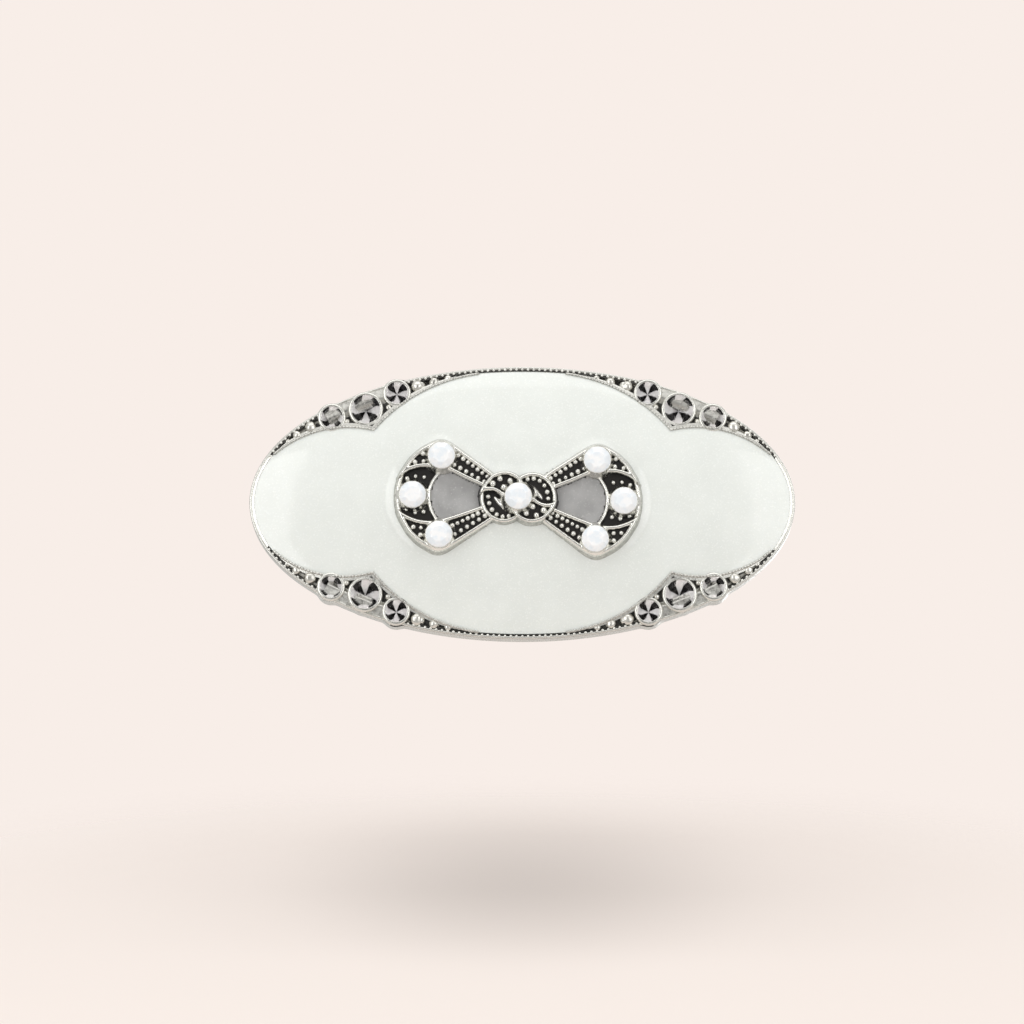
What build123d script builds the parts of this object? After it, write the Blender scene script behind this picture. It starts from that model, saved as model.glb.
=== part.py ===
from build123d import *
import os
from math import cos, hypot, radians, sin, tan

# Oval brooch: a domed, hollow-backed casting with a lobed field of enamel, four corner panels set
# with foil-backed chatons, an applied bow set with opal chatons, and a riveted pin finding behind.
# Frame: +X to the wearer's left, +Z up, the front faces -Y. The origin is the middle of the back
# rim. A "height" is a distance in front of the back rim's plane, and a "depth" is one behind it.

# ---- driving dimensions, in mm ----

# casting
body_length = 57.0
body_width = 28.8
edge_height = 2.2  # straight side wall, from the back rim to the edge of the dome
dome_rise = 2.4
rim_width = 0.5
back_wall = 1.8  # width of the rim round the hollow back
plate_thickness = 0.9  # metal behind the enamel
panel_depth = 0.5  # sunk floor of the corner panels
wire_width = 0.28  # raised wire between a corner panel and the enamel
wire_slant = 2.6  # how far its ends move along the rim, over its width
cusp_slant = 1.4  # the same at the point between two lobes
dome_margin = 1.15  # the dome's sheet reaches this share past the oval
dome_steps = 5  # points of the sheet each side of its middle
notch_radius = 1.2  # rounding where a bezel's skirt runs into the oval

# enamel
enamel_depth = 0.8
panel_top_angle = 80.8  # ends of a corner panel on the rim, in degrees of the oval's own angle
panel_side_angle = 21.8
top_lobe_rise = 1.2  # how far each lobe of enamel bows out over the line between its ends
side_lobe_rise = 1.35
cusp_gap = 0.56  # between the large bezel and the point where two lobes meet

# corner stones and granules
crystal_large_diameter = 3.1
crystal_small_diameter = 2.4
bezel_wall = 0.26
bezel_taper = 0.06  # how much thinner the wall is above the dome
bezel_lip = 0.3  # bezel's top above the dome at its middle
skirt_width = 0.12
corner_angle = 53.3  # place of the large stone, in degrees of the oval's own angle
large_inset = 1.88  # from the outline to the stone's middle
small_inset = 1.2
stone_gap = 0.5
granule_gap = 0.6
granule_inset = 0.3  # from the outline to the granule's nearest side
top_granules = (1.3, 1.0, 0.75)  # diameters, counted away from the stones
side_granules = (1.25, 0.9)

# bow
bow_half_length = 12.75
bow_half_width = 5.85
bow_turn = 1.7  # degrees clockwise
bow_shift = -0.43
ribbon_height = 5.4
back_ribbon_step = 0.35  # how far the back ribbons lie under the front ones
knot_height = 5.7
knot_band_rise = 0.25
knot_lobe_across = 2.45
knot_lobe_up = 2.65
knot_lobe_place = 1.5
loop_enamel_height = 4.85
opal_diameter = 2.75
collet_wall = 0.32
collet_lip = 0.35
peg_radius = 0.7
peg_length = 0.4  # peg left standing behind the plate, for the solder
peg_root = 0.2  # peg's end inside the bow

# cut of the chatons
table_share = 0.56  # table's width over the girdle's
crown_slope = 36.0
pavilion_slope = 41.0
girdle_thickness = 0.1
break_slope = 46.0  # small facets under the girdle, between the pavilion's mains
star_slope = 22.0
main_facets = 8
culet_share = 0.96  # depth of the cut-off point over the whole pavilion's
seat_floor_share = 0.35  # seat's floor over its mouth
stone_clearance = 0.02

# pin finding
bar_start = -17.6
bar_end = 17.4
bar_half_width = 2.0
bar_thickness = 0.7
bar_corner = 1.2
pad_place = 7.5
pad_radius = 2.0
bar_rivet_radius = 0.8
bar_rivet_head_radius = 1.35
bar_rivet_head = 0.45
bar_rivet_grip = 1.1  # how far the rivet goes into its pad
pin_depth = 2.4  # pin's axis behind the rim
pin_radius = 0.45
pin_tip_length = 6.0
pin_tip_radius = 0.08
pin_end = 17.2
hinge_place = -15.5
hinge_rivet_radius = 0.5
hinge_rivet_head = 0.25
hinge_rivet_head_radius = 0.85
eye_radius = 1.15
eye_half_width = 0.6
ear_radius = 1.2
ear_thickness = 0.42
catch_place = 14.4
catch_length = 2.6
housing_wall = 0.4
roller_radius = 1.66
roller_slot = 1.3
housing_half_opening = 40.0  # degrees each side of straight back
lever_angle = 36.0  # at rest, from straight back towards +Z
lever_travel = 80.0
lever_reach = 3.2
lever_width = 0.62
lever_thickness = 0.6
lever_root = 0.3  # lever's end inside the roller's wall
lever_slot_end = 16.0  # degrees of slot past the lever's middle when it is locked
thumb_length = 0.9
thumb_width = 1.7
housing_foot = 2.5
running_clearance = 0.04

# ---- values that follow ----

half_length = body_length / 2
half_width = body_width / 2
top_height = edge_height + dome_rise
over_everything = 3 * top_height


def dome_height(x, z):
    """Height of the casting's domed front over a point of the face: level all round the oval."""
    return top_height - dome_rise * ((x / half_length) ** 2 + (z / half_width) ** 2)


def on_oval(angle, inset):
    """The point this far inside the outline, square to it."""
    across, up = cos(angle) / half_length, sin(angle) / half_width
    size = hypot(across, up)
    return (
        half_length * cos(angle) - inset * across / size,
        half_width * sin(angle) - inset * up / size,
    )


def along_oval(angle, distance):
    """The oval's angle after going this far along the outline, from the pace half way there."""
    middle = angle
    for _ in range(3):
        pace = hypot(half_length * sin(middle), half_width * cos(middle))
        middle = angle + distance / pace / 2
    return angle + distance / pace


def arc_middle(start, end, rise):
    """The middle of an arc that bows out to the left of start to end."""
    across, up = end[0] - start[0], end[1] - start[1]
    size = hypot(across, up)
    return (
        (start[0] + end[0]) / 2 - rise * up / size,
        (start[1] + end[1]) / 2 + rise * across / size,
    )


def four_corners(point):
    """The same point in each quarter, named by where it is."""
    x, z = point
    return {
        "upper_right": (x, z),
        "upper_left": (-x, z),
        "lower_right": (x, -z),
        "lower_left": (-x, -z),
    }


# ---- places of the corner stones and granules, in the first quarter ----

large_bezel = crystal_large_diameter / 2 + bezel_wall
small_bezel = crystal_small_diameter / 2 + bezel_wall
large_angle = radians(corner_angle)
large_point = on_oval(large_angle, large_inset)
stone_step = large_bezel + small_bezel + stone_gap
inner_angle = along_oval(large_angle, stone_step)
outer_angle = along_oval(large_angle, -stone_step)
stone_points = {
    "crystal_large": (large_point, crystal_large_diameter),
    "crystal_inner": (on_oval(inner_angle, small_inset), crystal_small_diameter),
    "crystal_outer": (on_oval(outer_angle, small_inset), crystal_small_diameter),
}

granules = []
granule_rows = ((inner_angle, 1, top_granules), (outer_angle, -1, side_granules))
for start_angle, direction, diameters in granule_rows:
    angle, reach, gap = start_angle, small_bezel, stone_gap
    for diameter in diameters:
        angle = along_oval(angle, direction * (reach + gap + diameter / 2))
        granules.append((on_oval(angle, granule_inset + diameter / 2), diameter))
        reach, gap = diameter / 2, granule_gap

rim_half_length = half_length - rim_width
rim_half_width = half_width - rim_width

# ---- the four corner panels, as sketches in the face's plane ----


def corner_panels(shrink):
    """The corners left by the enamel's lobes, drawn in by the width of the wire round them."""
    top = on_oval(along_oval(radians(panel_top_angle), -wire_slant * shrink), rim_width)
    side = on_oval(along_oval(radians(panel_side_angle), wire_slant * shrink), rim_width)
    cusp = on_oval(large_angle, large_inset + large_bezel + cusp_gap - cusp_slant * shrink)
    with BuildSketch() as corners:
        with BuildLine():
            ThreePointArc(top, arc_middle(top, cusp, top_lobe_rise), cusp)
            ThreePointArc(cusp, arc_middle(cusp, side, side_lobe_rise), side)
            Polyline(side, (body_length, side[1]), (body_length, body_width), (top[0], body_width), top)
        make_face()
        mirror(about=Plane.YZ)
        mirror(about=Plane.XZ)
    return corners.sketch


with BuildSketch() as bezels:
    for point, diameter in stone_points.values():
        with Locations(*four_corners(point).values()):
            Circle(diameter / 2 + bezel_wall)

with BuildSketch() as enamel_outline:
    Ellipse(rim_half_length, rim_half_width)
    add(corner_panels(0), mode=Mode.SUBTRACT)
    add(bezels.sketch, mode=Mode.SUBTRACT)

with BuildSketch() as panel_floors:
    Ellipse(rim_half_length, rim_half_width)
    add(corner_panels(wire_width), mode=Mode.INTERSECT)
    add(bezels.sketch, mode=Mode.SUBTRACT)


# ---- the bow's sketches, in the bow's own plane ----

bow_angle = radians(bow_turn)
bow_plane = Plane(origin=(bow_shift, 0, 0), x_dir=(cos(bow_angle), 0, -sin(bow_angle)), z_dir=(0, -1, 0))


def bow_point(across, up):
    """A point given in shares of the bow's half length and half width."""
    return (across * bow_half_length, up * bow_half_width)


loop_root = bow_point(0.20, 0.40)
loop_shoulder = bow_point(0.555, 0.935)
loop_end = bow_point(1.0, 0.0)
loop_round = (
    bow_point(0.639, 1.0),
    bow_point(0.734, 0.925),
    bow_point(0.839, 0.765),
    bow_point(0.925, 0.53),
    bow_point(0.98, 0.285),
)
fold_top = bow_point(0.62, 0.465)  # where the back ribbon goes under the front one
fold_inner = bow_point(0.565, 0.444)
window_root = bow_point(0.30, 0.185)
window_back = bow_point(0.712, 0.0)
opal_places = {
    "opal_knot": (0.0, 0.0),
    "opal_right_upper": bow_point(0.636, 0.71),
    "opal_right_middle": bow_point(0.862, 0.0),
    "opal_right_lower": bow_point(0.636, -0.71),
    "opal_left_upper": bow_point(-0.636, 0.71),
    "opal_left_middle": bow_point(-0.862, 0.0),
    "opal_left_lower": bow_point(-0.636, -0.71),
}


def bow_seat(name, height):
    """The bow's plane, raised to a height and moved to an opal's place."""
    lifted = bow_plane.offset(height)
    return Plane(
        origin=lifted.from_local_coords((*opal_places[name], 0)),
        x_dir=bow_plane.x_dir,
        z_dir=bow_plane.z_dir,
    )


with BuildSketch() as loops:
    with BuildLine():
        Line((0, 0), loop_root)
        Line(loop_root, loop_shoulder)
        Spline(
            loop_shoulder,
            *loop_round,
            loop_end,
            tangents=(
                (loop_shoulder[0] - loop_root[0], loop_shoulder[1] - loop_root[1]),
                (0, -1),
            ),
        )
        Line(loop_end, (0, 0))
    make_face()
    mirror(about=Plane.XZ)
    mirror(about=Plane.YZ)

with BuildSketch() as collets:
    with Locations(*opal_places.values()):
        Circle(opal_diameter / 2 + collet_wall)

with BuildSketch() as back_ribbons:
    with BuildLine():
        Line((0, 0), (0, fold_top[1]))
        Line((0, fold_top[1]), fold_top)
        Spline(fold_top, bow_point(0.769, 0.513), bow_point(0.86, 0.475), bow_point(1.04, 0.245))
        Line(bow_point(1.04, 0.245), bow_point(1.04, 0))
        Line(bow_point(1.04, 0), (0, 0))
    make_face()
    Rectangle(2 * fold_inner[0], 2 * bow_half_width, mode=Mode.SUBTRACT)
    mirror(about=Plane.XZ)
    mirror(about=Plane.YZ)

with BuildSketch() as knot:
    with Locations((-knot_lobe_place, 0), (knot_lobe_place, 0)):
        Ellipse(knot_lobe_across, knot_lobe_up)

with BuildSketch() as window_right:
    with BuildLine():
        Polyline(
            (fold_top[0], -fold_top[1]),
            (fold_inner[0], -fold_inner[1]),
            (window_root[0], -window_root[1]),
            window_root,
            fold_inner,
            fold_top,
        )
        ThreePointArc(fold_top, window_back, (fold_top[0], -fold_top[1]))
    make_face()
    add(knot.sketch, mode=Mode.SUBTRACT)
    add(collets.sketch, mode=Mode.SUBTRACT)

knot_reach = knot_lobe_place + knot_lobe_across
with BuildSketch() as knot_band:
    with BuildLine() as band_edge:
        Spline(
            (-knot_reach, 0.11 * knot_lobe_up),
            (-0.73 * knot_reach, 0.766 * knot_lobe_up),
            (-0.33 * knot_reach, knot_lobe_up),
            (0.03 * knot_reach, 0.79 * knot_lobe_up),
            (0.41 * knot_reach, 0.01 * knot_lobe_up),
            (0.58 * knot_reach, -0.2 * knot_lobe_up),
            (knot_reach, -0.11 * knot_lobe_up),
        )
        add(band_edge.line, rotation=180)
    make_face()

with BuildSketch() as bow_outline:
    add(loops.sketch)
    add(knot.sketch)
    add(collets.sketch)

with BuildSketch() as knot_pockets:
    for side in (-1, 1):
        with Locations((side * 0.46 * knot_reach, side * 0.26 * knot_lobe_up)):
            Ellipse(0.86, 0.3, rotation=-47)

# ---- casting ----

# The dome is a smooth sheet through points of its height's formula, drawn out to the back.

dome_grid = []
for row in range(-dome_steps, dome_steps + 1):
    z = dome_margin * half_width * row / dome_steps
    dome_row = []
    for column in range(-dome_steps, dome_steps + 1):
        x = dome_margin * half_length * column / dome_steps
        dome_row.append(Vector(x, -dome_height(x, z), z))
    dome_grid.append(dome_row)
dome_sheet = Face.make_surface_from_array_of_points(dome_grid)
with BuildPart() as front_dome:
    extrude(dome_sheet, amount=2 * over_everything, dir=(0, 1, 0))

recess_floor = Pos(0, enamel_depth, 0) * front_dome.part
panel_floor = Pos(0, panel_depth, 0) * front_dome.part
hollow_roof = Pos(0, enamel_depth + plate_thickness, 0) * front_dome.part

with BuildPart() as enamel_space:
    with BuildSketch(Plane.XZ):
        add(enamel_outline.sketch)
    extrude(amount=over_everything)
    add(recess_floor, mode=Mode.SUBTRACT)

with BuildPart() as panel_space:
    with BuildSketch(Plane.XZ):
        add(panel_floors.sketch)
    extrude(amount=over_everything)
    add(panel_floor, mode=Mode.SUBTRACT)

with BuildPart() as hollow:
    with BuildSketch(Plane.XZ):
        Ellipse(half_length - back_wall, half_width - back_wall)
        add(bezels.sketch, mode=Mode.SUBTRACT)
    extrude(amount=over_everything)
    add(hollow_roof, mode=Mode.INTERSECT)


def crown_height(diameter):
    return diameter / 2 * (1 - table_share) * tan(radians(crown_slope))


def pavilion_depth(diameter):
    return diameter / 2 * tan(radians(pavilion_slope))


def setting_height(point):
    """Height of a corner stone's girdle: its bezel's lip is bent over the crown's edge."""
    return dome_height(*point) + bezel_lip - girdle_thickness


def seat_plane(point, height):
    return Plane(origin=(point[0], -height, point[1]), x_dir=(1, 0, 0), z_dir=(0, -1, 0))


def seat(diameter, mode):
    """Space for a chaton, with the girdle's underside at the plane: a bore over a tapered cup."""
    radius = diameter / 2 + stone_clearance
    cup_depth = pavilion_depth(diameter) + 2 * stone_clearance
    Cylinder(radius, top_height, align=(Align.CENTER, Align.CENTER, Align.MIN), mode=mode)
    Cone(
        seat_floor_share * radius,
        radius,
        cup_depth,
        align=(Align.CENTER, Align.CENTER, Align.MAX),
        mode=mode,
    )


with BuildPart() as corner_seats:
    for point, diameter in stone_points.values():
        for corner in four_corners(point).values():
            with Locations(seat_plane(corner, setting_height(corner))):
                seat(diameter, Mode.ADD)

with BuildPart() as corner_granules:
    for point, diameter in granules:
        for x, z in four_corners(point).values():
            with Locations((x, panel_depth - dome_height(x, z), z)):
                Sphere(diameter / 2)

pad_height = bar_thickness
with BuildPart() as body_casting:
    with BuildSketch(Plane.XZ):
        Ellipse(half_length, half_width)
        for point, diameter in stone_points.values():
            with Locations(*four_corners(point).values()):
                Circle(diameter / 2 + bezel_wall + skirt_width)
    extrude(amount=over_everything)
    notches = body_casting.edges().filter_by(Axis.Y).filter_by(lambda e: abs(e.center().Z) > half_width / 3)
    fillet(notches, radius=notch_radius)
    add(front_dome.part, mode=Mode.INTERSECT)
    for name in ("opal_left_middle", "opal_right_middle"):
        with Locations(bow_seat(name, 0)):
            Cylinder(
                peg_radius + stone_clearance,
                over_everything,
                align=(Align.CENTER, Align.CENTER, Align.MIN),
                mode=Mode.SUBTRACT,
            )
    add(hollow.part, mode=Mode.SUBTRACT)
    with BuildSketch(Plane.XZ.offset(pad_height)):
        with Locations((-pad_place, 0), (pad_place, 0)):
            Circle(pad_radius)
    extrude(amount=dome_height(pad_place, 0) - enamel_depth - plate_thickness / 2 - pad_height)
    with BuildSketch(Plane.XZ.offset(pad_height)):
        with Locations((-pad_place, 0), (pad_place, 0)):
            Circle(bar_rivet_radius + stone_clearance)
    extrude(amount=bar_rivet_grip + stone_clearance, mode=Mode.SUBTRACT)
    add(enamel_space.part, mode=Mode.SUBTRACT)
    add(panel_space.part, mode=Mode.SUBTRACT)
    for point, diameter in stone_points.values():
        with BuildSketch(Plane.XZ.offset(dome_height(*point) - panel_depth)):
            with Locations(*four_corners(point).values()):
                Circle(diameter / 2 + bezel_wall - bezel_taper)
        extrude(amount=panel_depth + bezel_lip)
    add(corner_granules.part)
    add(corner_seats.part, mode=Mode.SUBTRACT)

# ---- enamels ----

with BuildPart() as enamel_field:
    with BuildSketch(Plane.XZ):
        add(enamel_outline.sketch)
    extrude(amount=over_everything)
    add(front_dome.part, mode=Mode.INTERSECT)
    add(recess_floor, mode=Mode.SUBTRACT)
    with BuildSketch(bow_plane):
        add(bow_outline.sketch)
    extrude(amount=over_everything, mode=Mode.SUBTRACT)

with BuildPart() as loop_enamel_right:
    with BuildSketch(bow_plane):
        add(window_right.sketch)
    extrude(amount=loop_enamel_height)
    add(recess_floor, mode=Mode.SUBTRACT)

with BuildPart() as loop_enamel_left:
    with BuildSketch(bow_plane):
        mirror(window_right.sketch, about=Plane.YZ)
    extrude(amount=loop_enamel_height)
    add(recess_floor, mode=Mode.SUBTRACT)

# ---- bow ----

opal_floors = {name: ribbon_height for name in opal_places}
opal_floors["opal_left_middle"] = ribbon_height - back_ribbon_step
opal_floors["opal_right_middle"] = ribbon_height - back_ribbon_step
opal_floors["opal_knot"] = knot_height + knot_band_rise
opal_girdles = {name: floor + collet_lip - girdle_thickness for name, floor in opal_floors.items()}

with BuildPart() as bow_casting:
    with BuildSketch(bow_plane):
        add(loops.sketch)
    extrude(amount=ribbon_height)
    with BuildSketch(bow_plane.offset(ribbon_height - back_ribbon_step)):
        add(back_ribbons.sketch)
    extrude(amount=back_ribbon_step, mode=Mode.SUBTRACT)
    with BuildSketch(bow_plane):
        add(window_right.sketch)
        mirror(window_right.sketch, about=Plane.YZ)
    extrude(amount=ribbon_height, mode=Mode.SUBTRACT)
    with BuildSketch(bow_plane):
        add(knot.sketch)
    extrude(amount=knot_height)
    with BuildSketch(bow_plane):
        add(knot_band.sketch)
        add(knot.sketch, mode=Mode.INTERSECT)
    extrude(amount=knot_height + knot_band_rise)
    with BuildSketch(bow_plane.offset(loop_enamel_height)):
        add(knot_pockets.sketch)
    extrude(amount=top_height, mode=Mode.SUBTRACT)
    for name, place in opal_places.items():
        with BuildSketch(bow_plane):
            with Locations(place):
                Circle(opal_diameter / 2 + collet_wall)
        extrude(amount=opal_floors[name] + collet_lip)
    add(recess_floor, mode=Mode.SUBTRACT)
    for name in opal_places:
        with Locations(bow_seat(name, opal_girdles[name])):
            seat(opal_diameter, Mode.SUBTRACT)
    for name in ("opal_left_middle", "opal_right_middle"):
        place = bow_seat(name, 0).origin
        plate_front = dome_height(place.X, place.Z) - enamel_depth
        peg_back = plate_front - plate_thickness - peg_length
        with BuildSketch(bow_seat(name, peg_back)):
            Circle(peg_radius)
        extrude(amount=plate_front + peg_root - peg_back)

# ---- chatons ----


def cut_chaton(diameter):
    """A chaton with its girdle's underside at the plane: table, crown mains and stars, pavilion
    mains, and breaks between them under the girdle."""
    radius = diameter / 2
    table_height = crown_height(diameter) + girdle_thickness
    facets = (
        (0, crown_slope, girdle_thickness, radius, 1),
        (0.5, star_slope, table_height, radius * table_share, 1),
        (0, pavilion_slope, 0, radius, -1),
        (0.5, break_slope, 0, radius, -1),
    )
    with BuildPart() as chaton:
        Cylinder(radius, table_height, align=(Align.CENTER, Align.CENTER, Align.MIN))
        Cylinder(
            radius,
            culet_share * pavilion_depth(diameter),
            align=(Align.CENTER, Align.CENTER, Align.MAX),
        )
        for main in range(main_facets):
            for step, slope, height, reach, side in facets:
                around = radians(360 * (main + step) / main_facets)
                tilt = radians(slope)
                facet = Plane(
                    origin=(reach * cos(around), reach * sin(around), height),
                    z_dir=(sin(tilt) * cos(around), sin(tilt) * sin(around), side * cos(tilt)),
                )
                split(bisect_by=facet, keep=Keep.BOTTOM)
    return chaton.part


stones = {}
for name, (point, diameter) in stone_points.items():
    cut = cut_chaton(diameter)
    for corner, place in four_corners(point).items():
        stones[f"{name}_{corner}"] = seat_plane(place, setting_height(place)).location * cut
opal_cut = cut_chaton(opal_diameter)
for name in opal_places:
    stones[name] = bow_seat(name, opal_girdles[name]).location * opal_cut

# ---- pin finding ----

housing_radius = roller_radius + running_clearance
ear_inner = eye_half_width + running_clearance
ear_outer = ear_inner + ear_thickness
foot_depth = pin_depth + bar_thickness / 2  # feet of the ears and housing, sunk into the bar
foot_middle = bar_thickness / 4 + pin_depth / 2
hinge_axis = Plane(origin=(hinge_place, pin_depth, 0), x_dir=(1, 0, 0), z_dir=(0, 0, 1))
catch_axis = Plane(origin=(catch_place, pin_depth, 0), x_dir=(0, 1, 0), z_dir=(1, 0, 0))


def sector(radius, start, end):
    """A pie slice between two angles, in degrees from straight back towards +Z."""
    points = []
    for share in (0, 0.5, 1):
        angle = radians(start + (end - start) * share)
        points.append((radius * cos(angle), radius * sin(angle)))
    with BuildSketch() as pie:
        with BuildLine():
            Line((0, 0), points[0])
            ThreePointArc(*points)
            Line(points[2], (0, 0))
        make_face()
    return pie.sketch


with BuildPart() as pin_bar:
    with BuildSketch(Plane.XZ):
        with Locations(((bar_start + bar_end) / 2, 0)):
            RectangleRounded(bar_end - bar_start, 2 * bar_half_width, bar_corner)
    extrude(amount=bar_thickness)
    for side in (-1, 1):
        with BuildSketch(hinge_axis.offset(side * (ear_inner + ear_thickness / 2))):
            Circle(ear_radius)
            with Locations((0, -foot_middle)):
                Rectangle(2 * ear_radius, foot_depth)
            Circle(hinge_rivet_radius + running_clearance, mode=Mode.SUBTRACT)
        extrude(amount=ear_thickness / 2, both=True)
    with BuildSketch(catch_axis):
        Circle(housing_radius + housing_wall)
        with Locations((-foot_middle, 0)):
            Rectangle(foot_depth, housing_foot)
    extrude(amount=catch_length / 2, both=True)
    with BuildSketch(catch_axis):
        Circle(housing_radius)
        add(sector(2 * housing_radius, -housing_half_opening, housing_half_opening))
    extrude(amount=catch_length / 2, both=True, mode=Mode.SUBTRACT)
    with BuildSketch(catch_axis):
        add(sector(2 * housing_radius, 0, lever_angle + lever_travel + lever_slot_end))
    extrude(amount=lever_width / 2 + running_clearance, both=True, mode=Mode.SUBTRACT)
    with BuildSketch(Plane.XZ):
        with Locations((-pad_place, 0), (pad_place, 0)):
            Circle(bar_rivet_radius + stone_clearance)
    extrude(amount=bar_thickness, mode=Mode.SUBTRACT)

with BuildPart() as bar_rivet:
    with BuildSketch(Plane.XZ):
        Circle(bar_rivet_radius)
    extrude(amount=bar_thickness + bar_rivet_grip)
    with BuildSketch(Plane.XZ):
        Circle(bar_rivet_head_radius)
    extrude(amount=-bar_rivet_head)
    fillet(bar_rivet.faces().sort_by(Axis.Y)[-1].edges(), radius=bar_rivet_head * 0.7)

with BuildPart() as hinge_rivet:
    with BuildSketch(hinge_axis):
        Circle(hinge_rivet_radius)
    extrude(amount=ear_outer, both=True)
    for side in (-1, 1):
        with BuildSketch(hinge_axis.offset(side * (ear_outer + hinge_rivet_head / 2))):
            Circle(hinge_rivet_head_radius)
        extrude(amount=hinge_rivet_head / 2, both=True)
    fillet(hinge_rivet.edges().group_by(Axis.Z)[0], radius=hinge_rivet_head * 0.7)
    fillet(hinge_rivet.edges().group_by(Axis.Z)[-1], radius=hinge_rivet_head * 0.7)

with BuildPart() as pin_stem:
    with BuildSketch(Plane.XY):
        with BuildLine():
            Polyline(
                (hinge_place, pin_depth),
                (hinge_place, pin_depth + pin_radius),
                (pin_end - pin_tip_length, pin_depth + pin_radius),
                (pin_end, pin_depth + pin_tip_radius),
                (pin_end, pin_depth),
                close=True,
            )
        make_face()
    revolve(axis=Axis((hinge_place, pin_depth, 0), (1, 0, 0)))
    with BuildSketch(hinge_axis):
        Circle(eye_radius)
    extrude(amount=eye_half_width, both=True)
    with BuildSketch(hinge_axis):
        Circle(hinge_rivet_radius + running_clearance)
    extrude(amount=eye_half_width, both=True, mode=Mode.SUBTRACT)

lever_turn = radians(lever_angle)
lever_middle = (roller_radius + lever_reach - lever_root) / 2
lever_length = lever_reach - roller_radius + lever_root
thumb_middle = lever_reach - thumb_length / 2
with BuildPart() as catch_roller:
    with BuildSketch(catch_axis):
        Circle(roller_radius)
        with Locations((roller_radius, 0)):
            Rectangle(2 * roller_radius, roller_slot, mode=Mode.SUBTRACT)
        Circle(roller_slot / 2, mode=Mode.SUBTRACT)
    extrude(amount=catch_length / 2, both=True)
    for middle, length, width in (
        (lever_middle, lever_length, lever_width),
        (thumb_middle, thumb_length, thumb_width),
    ):
        with BuildSketch(catch_axis):
            with Locations(
                Location((middle * cos(lever_turn), middle * sin(lever_turn), 0), (0, 0, lever_angle))
            ):
                Rectangle(length, lever_thickness)
        extrude(amount=width / 2, both=True)

# ---- output ----

pieces = {
    "body_casting": body_casting.part,
    "enamel_field": enamel_field.part,
    "loop_enamel_left": loop_enamel_left.part,
    "loop_enamel_right": loop_enamel_right.part,
    "bow_casting": bow_casting.part,
    "pin_bar": pin_bar.part,
    "bar_rivet_left": Pos(-pad_place, 0, 0) * bar_rivet.part,
    "bar_rivet_right": Pos(pad_place, 0, 0) * bar_rivet.part,
    "hinge_rivet": hinge_rivet.part,
    "pin_stem": pin_stem.part,
    "catch_roller": catch_roller.part,
    **stones,
}
os.makedirs("parts", exist_ok=True)
for name, piece in pieces.items():
    piece.label = name
    export_step(piece, f"parts/{name}.step")
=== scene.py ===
# %% [markdown]
# # An oval bow brooch in plated casting, enamel, crystal and opal glass
# The real brooch is a thin oval casting, domed towards the wearer's front and hollow behind. Its
# face is flooded with pearl enamel, four corners are set with foiled crystals, and a cast bow with
# opal glass stones is soldered on top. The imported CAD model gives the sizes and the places. Here
# each piece gets its fine shape and its finish. All helpers below work in millimetres on the face:
# x runs along the brooch, z runs up, and a height is the distance in front of the back rim.

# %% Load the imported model
import math
import random

import bmesh
import bpy
import numpy as np
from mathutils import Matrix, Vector, noise


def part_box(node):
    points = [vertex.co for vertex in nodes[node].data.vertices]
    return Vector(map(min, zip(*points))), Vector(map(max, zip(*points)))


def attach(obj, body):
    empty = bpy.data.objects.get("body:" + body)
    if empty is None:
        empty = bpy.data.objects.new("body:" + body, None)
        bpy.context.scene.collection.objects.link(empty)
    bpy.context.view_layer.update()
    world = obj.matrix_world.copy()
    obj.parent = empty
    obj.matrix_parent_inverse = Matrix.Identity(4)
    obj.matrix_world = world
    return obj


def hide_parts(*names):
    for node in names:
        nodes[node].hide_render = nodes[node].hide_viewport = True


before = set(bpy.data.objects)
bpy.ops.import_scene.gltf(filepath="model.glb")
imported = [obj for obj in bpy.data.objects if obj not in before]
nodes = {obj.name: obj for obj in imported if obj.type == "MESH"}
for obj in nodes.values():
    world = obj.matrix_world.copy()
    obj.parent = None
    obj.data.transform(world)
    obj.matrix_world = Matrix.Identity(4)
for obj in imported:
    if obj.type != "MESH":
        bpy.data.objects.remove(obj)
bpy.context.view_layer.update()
scene = bpy.context.scene
MM = 0.001

# %% [markdown]
# ## Finishes
# A brooch of this kind is cast in a white metal alloy, plated, dipped in a black oxide and then
# rubbed, so the high places are bright and the hollows stay dark. Each finish is a node material.
# One helper turns an sRGB hex colour to linear values and one adds a node with its settings and
# links. The rest start a material, turn a size in millimetres to a scale, and blend two colours.

# %% Colour and node helpers
def colour(hex_code):
    """An sRGB hex colour as linear RGBA."""
    parts = [int(hex_code[place:place + 2], 16) / 255 for place in (0, 2, 4)]
    return (*[v / 12.92 if v <= 0.04045 else ((v + 0.055) / 1.055) ** 2.4 for v in parts], 1.0)


def node(tree, kind, inputs=None, **settings):
    """Adds a node. inputs gives each input, by name or number, a value or a socket to link."""
    made = tree.nodes.new("ShaderNode" + kind)
    for name, value in settings.items():
        setattr(made, name, value)
    for place, value in (inputs or {}).items():
        if isinstance(value, bpy.types.NodeSocket):
            tree.links.new(value, made.inputs[place])
        else:
            made.inputs[place].default_value = value
    return made


def new_finish(name):
    """An empty material and its node tree, with object coordinates in metres."""
    made = bpy.data.materials.new(name)
    made.use_nodes = True
    made.node_tree.nodes.clear()
    tree = made.node_tree
    return made, tree, node(tree, "TexCoord").outputs["Object"]


def per_mm(size):
    """Texture scale that draws one feature of this many millimetres, in object coordinates."""
    return 1 / (size * MM)


def ramp(tree, value, low, high, low_colour, high_colour):
    """A value spread over two colours."""
    share = node(tree, "MapRange", {"Value": value, "From Min": low, "From Max": high})
    mixed = node(tree, "Mix", {0: share.outputs[0], 6: low_colour, 7: high_colour}, data_type="RGBA")
    return mixed.outputs[2]


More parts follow.
